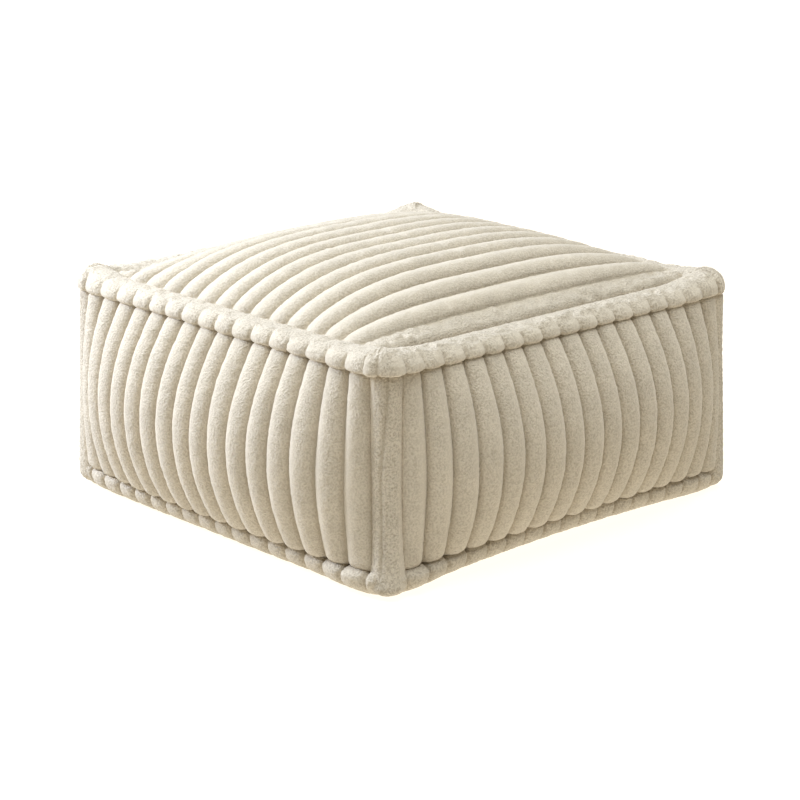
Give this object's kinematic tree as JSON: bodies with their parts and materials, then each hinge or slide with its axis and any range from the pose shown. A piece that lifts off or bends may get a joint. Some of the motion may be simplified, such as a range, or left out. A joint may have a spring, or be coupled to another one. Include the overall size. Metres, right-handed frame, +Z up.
{
  "type": "modular sofa ottoman",
  "caption": "Square filled ottoman in deep-ribbed cream teddy plush, with a crowned top, bulging sides and a rolled, stitched edge along every side",
  "frame": {"origin": "on the floor, under the middle of the ottoman", "axes": "+X along the ribs of the top, +Y across them, +Z up; the side with 17 ribs that faces -Y is called the front"},
  "size_m": [0.8926, 0.8766, 0.4221],
  "materials": {
    "cushion_plush": "cream short-pile teddy plush, channelled into deep round ribs",
    "roll_plush": "the same cream plush, rolled over a soft core and stitched"
  },
  "bodies": {
    "root": {"filled_cushion": "cushion_plush", "top_roll_front": "roll_plush", "top_roll_right": "roll_plush", "top_roll_back": "roll_plush", "top_roll_left": "roll_plush", "bottom_roll_front": "roll_plush", "bottom_roll_right": "roll_plush", "bottom_roll_back": "roll_plush", "bottom_roll_left": "roll_plush", "corner_roll_front_left": "roll_plush", "corner_roll_front_right": "roll_plush", "corner_roll_back_right": "roll_plush", "corner_roll_back_left": "roll_plush"}
  },
  "joints": []
}
